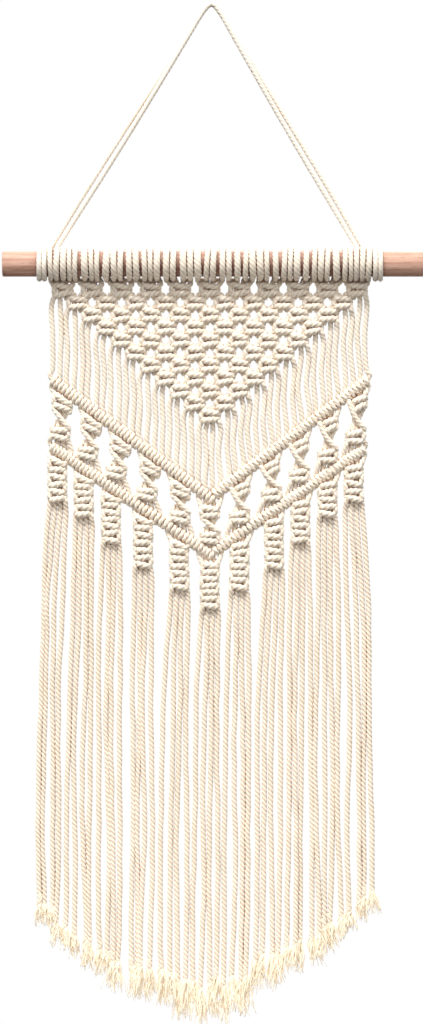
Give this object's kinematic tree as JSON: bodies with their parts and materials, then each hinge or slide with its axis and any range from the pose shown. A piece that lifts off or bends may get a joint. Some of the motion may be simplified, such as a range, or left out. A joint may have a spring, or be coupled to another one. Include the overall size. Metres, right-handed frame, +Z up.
{
  "type": "macrame wall hanging",
  "caption": "Macrame wall hanging: wooden dowel on a doubled cord, net and double V of knotted cotton, sinnets and long frayed fringe.",
  "frame": {"origin": "where the hanger cord rests on the wall hook, at the inside of its top bend", "axes": "+Z up, +X along the dowel to the viewer's right, -Y out of the wall towards the viewer"},
  "size_m": [0.4, 0.0371, 0.9635],
  "materials": {
    "dowel_wood": "plain sanded beech",
    "hanger_cord": "twisted natural cotton",
    "knotted_cotton": "knotted natural cotton",
    "fringe_cotton": "twisted natural cotton, frayed tips"
  },
  "bodies": {
    "hanger": {"hanger_strand_inner": "hanger_cord", "hanger_strand_outer": "hanger_cord", "hanger_wrap_left": "hanger_cord", "hanger_wrap_right": "hanger_cord", "mounting_knot_01": "knotted_cotton", "mounting_knot_02": "knotted_cotton", "mounting_knot_03": "knotted_cotton", "mounting_knot_04": "knotted_cotton", "mounting_knot_05": "knotted_cotton", "mounting_knot_06": "knotted_cotton", "mounting_knot_07": "knotted_cotton", "mounting_knot_08": "knotted_cotton", "mounting_knot_09": "knotted_cotton", "mounting_knot_10": "knotted_cotton", "mounting_knot_11": "knotted_cotton"},
    "dowel": {"dowel": "dowel_wood"},
    "panel": {"knotted_net": "knotted_cotton", "drop_cords_left": "knotted_cotton", "drop_cords_right": "knotted_cotton", "upper_vee_left": "knotted_cotton", "upper_vee_right": "knotted_cotton", "lower_vee_left": "knotted_cotton", "lower_vee_right": "knotted_cotton", "hourglass_knot_01": "knotted_cotton", "hourglass_knot_02": "knotted_cotton", "hourglass_knot_03": "knotted_cotton", "hourglass_knot_04": "knotted_cotton", "hourglass_knot_05": "knotted_cotton", "hourglass_knot_06": "knotted_cotton", "hourglass_knot_07": "knotted_cotton", "hourglass_knot_08": "knotted_cotton", "hourglass_knot_09": "knotted_cotton", "hourglass_knot_10": "knotted_cotton", "hourglass_knot_11": "knotted_cotton", "sinnet_01": "knotted_cotton", "sinnet_02": "knotted_cotton", "sinnet_03": "knotted_cotton", "sinnet_04": "knotted_cotton", "sinnet_05": "knotted_cotton", "sinnet_06": "knotted_cotton", "sinnet_07": "knotted_cotton", "sinnet_08": "knotted_cotton", "sinnet_09": "knotted_cotton", "sinnet_10": "knotted_cotton", "sinnet_11": "knotted_cotton"},
    "fringe_01": {"fringe_01": "fringe_cotton"},
    "fringe_02": {"fringe_02": "fringe_cotton"},
    "fringe_03": {"fringe_03": "fringe_cotton"},
    "fringe_04": {"fringe_04": "fringe_cotton"},
    "fringe_05": {"fringe_05": "fringe_cotton"},
    "fringe_06": {"fringe_06": "fringe_cotton"},
    "fringe_07": {"fringe_07": "fringe_cotton"},
    "fringe_08": {"fringe_08": "fringe_cotton"},
    "fringe_09": {"fringe_09": "fringe_cotton"},
    "fringe_10": {"fringe_10": "fringe_cotton"},
    "fringe_11": {"fringe_11": "fringe_cotton"}
  },
  "joints": [
    {"name": "dowel_slide", "type": "slide", "parent": "hanger", "child": "dowel", "axis": [1, 0, 0], "range_m": [-0.02, 0.02]},
    {"name": "panel_swing", "type": "hinge", "parent": "hanger", "child": "panel", "pos_m": [-0.003, 0.008, -0.2645], "axis": [-1, 0, 0], "range_deg": [-6, 45]},
    {"name": "fringe_swing_01", "type": "hinge", "parent": "panel", "child": "fringe_01", "pos_m": [-0.003, 0.008, -0.4733], "axis": [-1, 0, 0], "range_deg": [-8, 45]},
    {"name": "fringe_swing_02", "type": "hinge", "parent": "panel", "child": "fringe_02", "pos_m": [-0.003, 0.008, -0.4873], "axis": [-1, 0, 0], "range_deg": [-8, 45]},
    {"name": "fringe_swing_03", "type": "hinge", "parent": "panel", "child": "fringe_03", "pos_m": [-0.003, 0.008, -0.5123], "axis": [-1, 0, 0], "range_deg": [-8, 45]},
    {"name": "fringe_swing_04", "type": "hinge", "parent": "panel", "child": "fringe_04", "pos_m": [-0.003, 0.008, -0.5363], "axis": [-1, 0, 0], "range_deg": [-8, 45]},
    {"name": "fringe_swing_05", "type": "hinge", "parent": "panel", "child": "fringe_05", "pos_m": [-0.003, 0.008, -0.5568], "axis": [-1, 0, 0], "range_deg": [-8, 45]},
    {"name": "fringe_swing_06", "type": "hinge", "parent": "panel", "child": "fringe_06", "pos_m": [-0.003, 0.008, -0.5743], "axis": [-1, 0, 0], "range_deg": [-8, 45]},
    {"name": "fringe_swing_07", "type": "hinge", "parent": "panel", "child": "fringe_07", "pos_m": [-0.003, 0.008, -0.5568], "axis": [-1, 0, 0], "range_deg": [-8, 45]},
    {"name": "fringe_swing_08", "type": "hinge", "parent": "panel", "child": "fringe_08", "pos_m": [-0.003, 0.008, -0.5363], "axis": [-1, 0, 0], "range_deg": [-8, 45]},
    {"name": "fringe_swing_09", "type": "hinge", "parent": "panel", "child": "fringe_09", "pos_m": [-0.003, 0.008, -0.5123], "axis": [-1, 0, 0], "range_deg": [-8, 45]},
    {"name": "fringe_swing_10", "type": "hinge", "parent": "panel", "child": "fringe_10", "pos_m": [-0.003, 0.008, -0.4873], "axis": [-1, 0, 0], "range_deg": [-8, 45]},
    {"name": "fringe_swing_11", "type": "hinge", "parent": "panel", "child": "fringe_11", "pos_m": [-0.003, 0.008, -0.4733], "axis": [-1, 0, 0], "range_deg": [-8, 45]}
  ]
}
